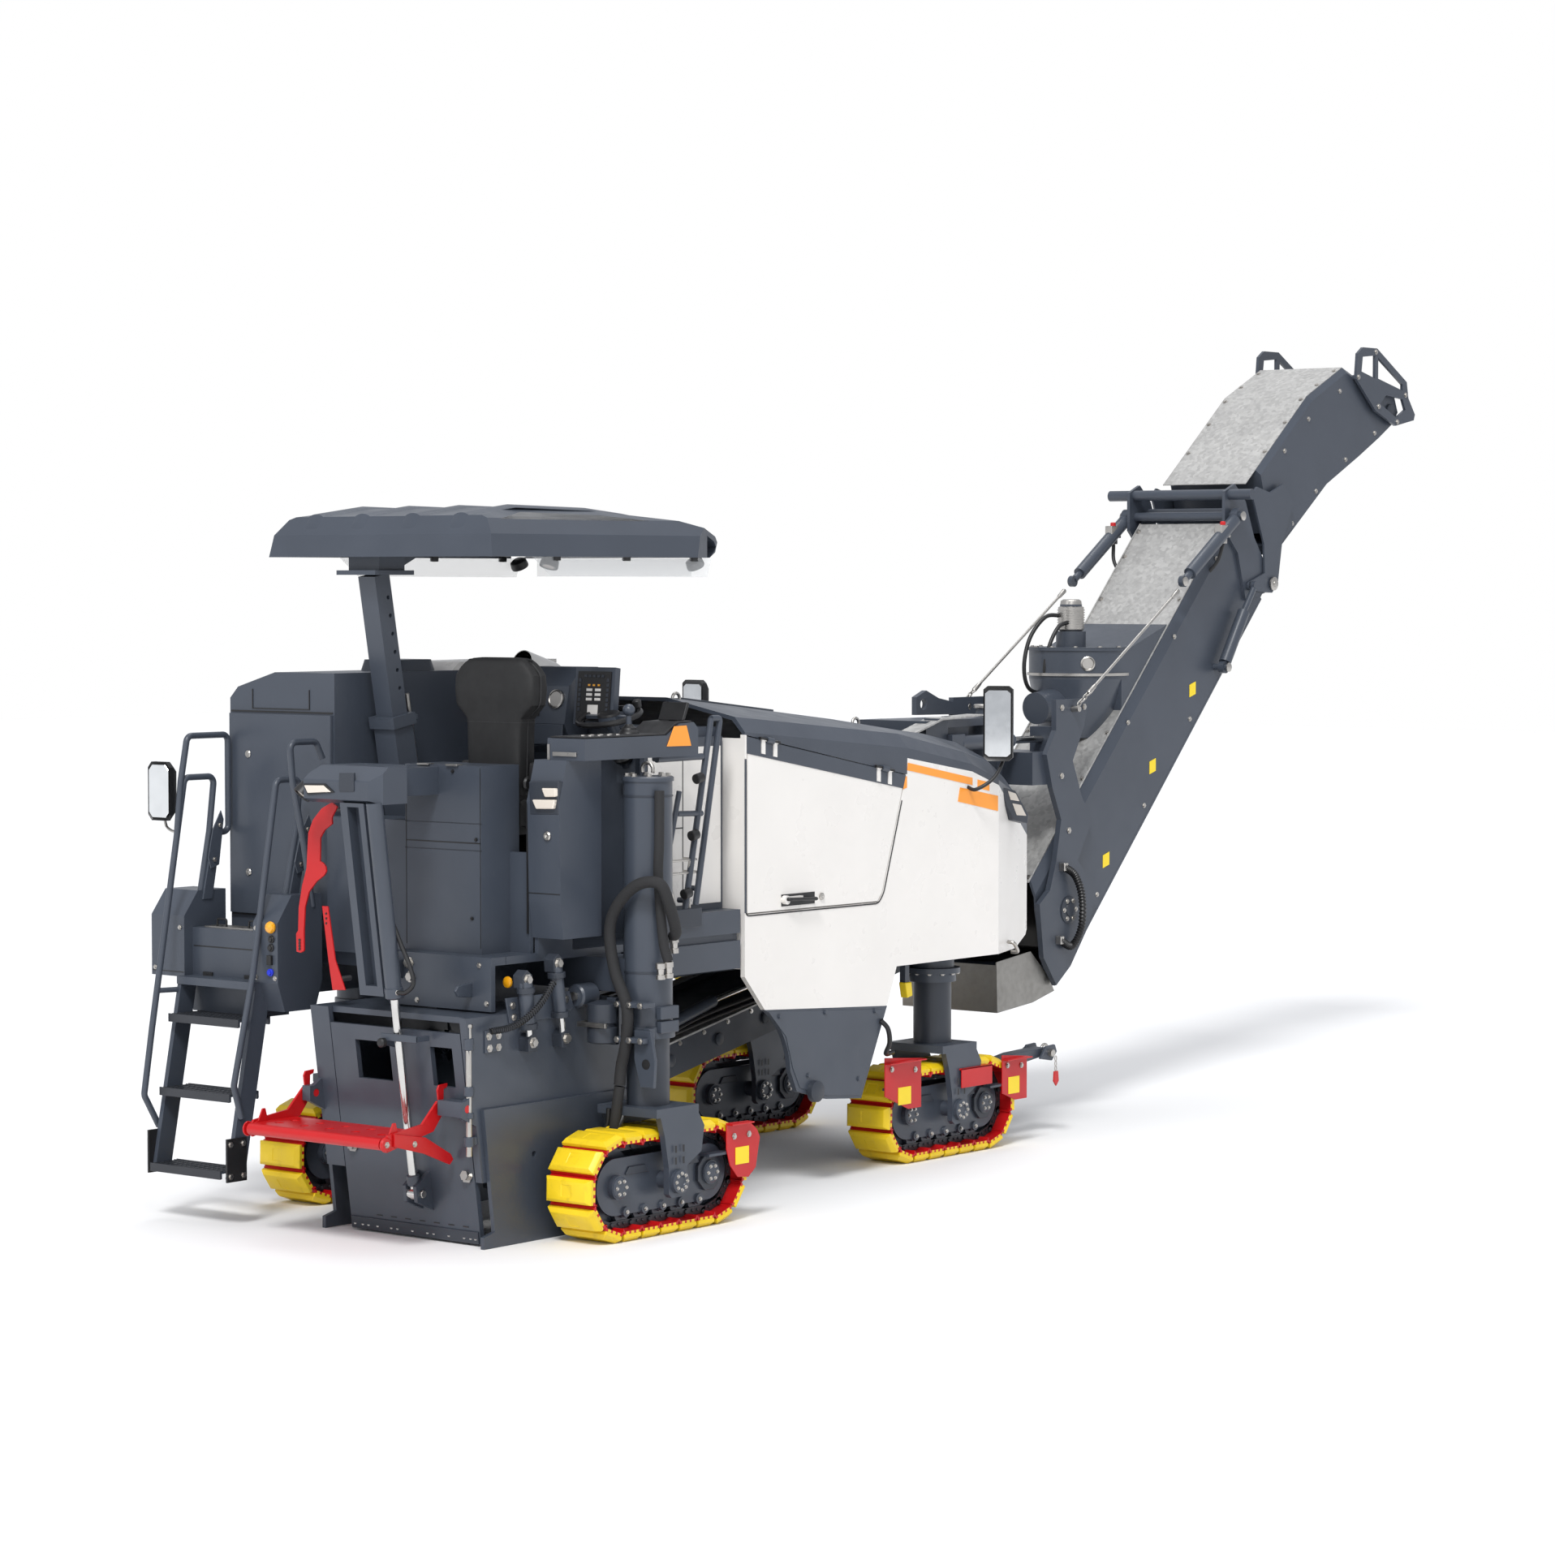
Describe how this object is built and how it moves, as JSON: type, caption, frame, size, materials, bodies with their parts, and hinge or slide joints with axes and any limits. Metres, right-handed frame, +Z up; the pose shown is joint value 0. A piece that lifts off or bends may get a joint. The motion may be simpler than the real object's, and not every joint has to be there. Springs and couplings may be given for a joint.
{
  "type": "cold planer milling machine",
  "caption": "Compact front-loading cold planer on four steered tracks, with a folding discharge conveyor, milling drum, canopy and folding rear step.",
  "frame": {"origin": "under the middle of the bounding box, on the ground under the track pads", "axes": "+X forward along the machine to the discharge conveyor, +Y to the machine's left, +Z up"},
  "size_m": [10.685, 2.796, 4.905],
  "materials": {
    "belt_rubber": "ribbed belt",
    "chrome": "hard chrome",
    "drum_steel": "worn steel",
    "pad_yellow": "moulded pads on red shoes",
    "paint_dark": "satin paint",
    "paint_red": "satin paint",
    "paint_slate": "satin paint",
    "paint_white": "satin paint",
    "seat_vinyl": "vinyl",
    "zinc": "galvanised sheet"
  },
  "bodies": {
    "machine": {"main_frame": "paint_slate", "drum_housing": "paint_slate", "rear_hood": "paint_slate", "body_side_right": "paint_white", "body_side_left": "paint_white", "apron_right": "paint_slate", "apron_left": "paint_slate", "engine_hood": "paint_slate", "engine_block": "paint_dark", "loading_conveyor": "paint_slate", "operator_stand": "paint_slate", "operator_consoles": "paint_dark", "operator_seat": "seat_vinyl", "rear_cabinet": "paint_slate", "cabinet_panel": "paint_slate", "exhaust_cover": "paint_white", "exhaust_pipe": "chrome", "mast_base": "paint_slate", "access_ladder": "paint_slate"},
    "leg_rear_right": {"track_loop_rear_right": "pad_yellow", "leg_frame_rear_right": "paint_slate", "lift_rod_rear_right": "chrome"},
    "leg_rear_left": {"track_loop_rear_left": "pad_yellow", "leg_frame_rear_left": "paint_slate", "lift_rod_rear_left": "chrome"},
    "leg_front_right": {"track_loop_front_right": "pad_yellow", "leg_frame_front_right": "paint_slate", "lift_rod_front_right": "chrome"},
    "leg_front_left": {"track_loop_front_left": "pad_yellow", "leg_frame_front_left": "paint_slate", "lift_rod_front_left": "chrome"},
    "drum": {"milling_drum": "drum_steel"},
    "canopy": {"canopy_mast": "paint_slate", "canopy_roof": "paint_slate"},
    "skid_right": {"side_plate_right": "paint_slate"},
    "skid_left": {"side_plate_left": "paint_slate"},
    "scraper_set": {"scraper": "paint_slate", "scraper_ears": "paint_slate", "scraper_rod": "chrome"},
    "door_right": {"service_door_right": "paint_white"},
    "door_left": {"service_door_left": "paint_white"},
    "step": {"folding_step": "paint_red", "step_arms": "paint_red"},
    "swivel": {"conveyor_swivel": "paint_slate"},
    "boom_lower": {"lower_boom": "paint_slate", "lower_cover": "zinc", "conveyor_tail": "zinc", "lower_belt": "belt_rubber", "dust_extractor": "paint_slate", "knee_cylinders": "paint_slate"},
    "boom_upper": {"upper_boom": "paint_slate", "upper_cover": "zinc", "upper_belt": "belt_rubber", "head_guards": "paint_slate"}
  },
  "joints": [
    {"name": "steer_rear_right", "type": "hinge", "parent": "machine", "child": "leg_rear_right", "pos_m": [-3.855, -1.187, 0.7], "axis": [0, 0, 1], "range_deg": [-7, 7]},
    {"name": "steer_rear_left", "type": "hinge", "parent": "machine", "child": "leg_rear_left", "pos_m": [-3.855, 0.866, 0.7], "axis": [0, 0, 1], "range_deg": [-10, 10]},
    {"name": "steer_front_right", "type": "hinge", "parent": "machine", "child": "leg_front_right", "pos_m": [-0.6825, -0.63, 0.7], "axis": [0, 0, 1], "range_deg": [-20, 20]},
    {"name": "steer_front_left", "type": "hinge", "parent": "machine", "child": "leg_front_left", "pos_m": [-0.6825, 0.826, 0.7], "axis": [0, 0, 1], "range_deg": [-20, 20]},
    {"name": "drum_turn", "type": "hinge", "parent": "machine", "child": "drum", "pos_m": [-4.0675, -0.372, 0.56], "axis": [0, 1, 0], "continuous": true},
    {"name": "canopy_lift", "type": "slide", "parent": "machine", "child": "canopy", "axis": [-0.1751, 0, 0.9845], "range_m": [-0.35, 0]},
    {"name": "side_plate_right_lift", "type": "slide", "parent": "machine", "child": "skid_right", "axis": [0, 0, 1], "range_m": [0, 0.25]},
    {"name": "side_plate_left_lift", "type": "slide", "parent": "machine", "child": "skid_left", "axis": [0, 0, 1], "range_m": [0, 0.25]},
    {"name": "scraper_lift", "type": "slide", "parent": "machine", "child": "scraper_set", "axis": [-0.1392, 0, 0.9903], "range_m": [0, 0.25]},
    {"name": "service_door_right_turn", "type": "hinge", "parent": "machine", "child": "door_right", "pos_m": [-1.9875, -0.912, 2.36382], "axis": [-0.9835, 0, 0.181], "range_deg": [0, 75]},
    {"name": "service_door_left_turn", "type": "hinge", "parent": "machine", "child": "door_left", "pos_m": [-1.9875, 1.108, 2.36382], "axis": [0.9835, 0, -0.181], "range_deg": [0, 75]},
    {"name": "folding_step_turn", "type": "hinge", "parent": "machine", "child": "step", "pos_m": [-4.9075, -0.372, 0.71], "axis": [0, 1, 0], "range_deg": [0, 75]},
    {"name": "conveyor_slew", "type": "hinge", "parent": "machine", "child": "swivel", "pos_m": [0.8125, 0.098, 2.2], "axis": [0, 0, 1], "range_deg": [-30, 30]},
    {"name": "conveyor_tilt", "type": "hinge", "parent": "swivel", "child": "boom_lower", "pos_m": [1.1525, 0.098, 1.29], "axis": [0, -1, 0], "range_deg": [-25, 5]},
    {"name": "conveyor_fold", "type": "hinge", "parent": "boom_lower", "child": "boom_upper", "pos_m": [3.5025, 0.098, 3.3], "axis": [0, 1, 0], "range_deg": [0, 85]}
  ]
}
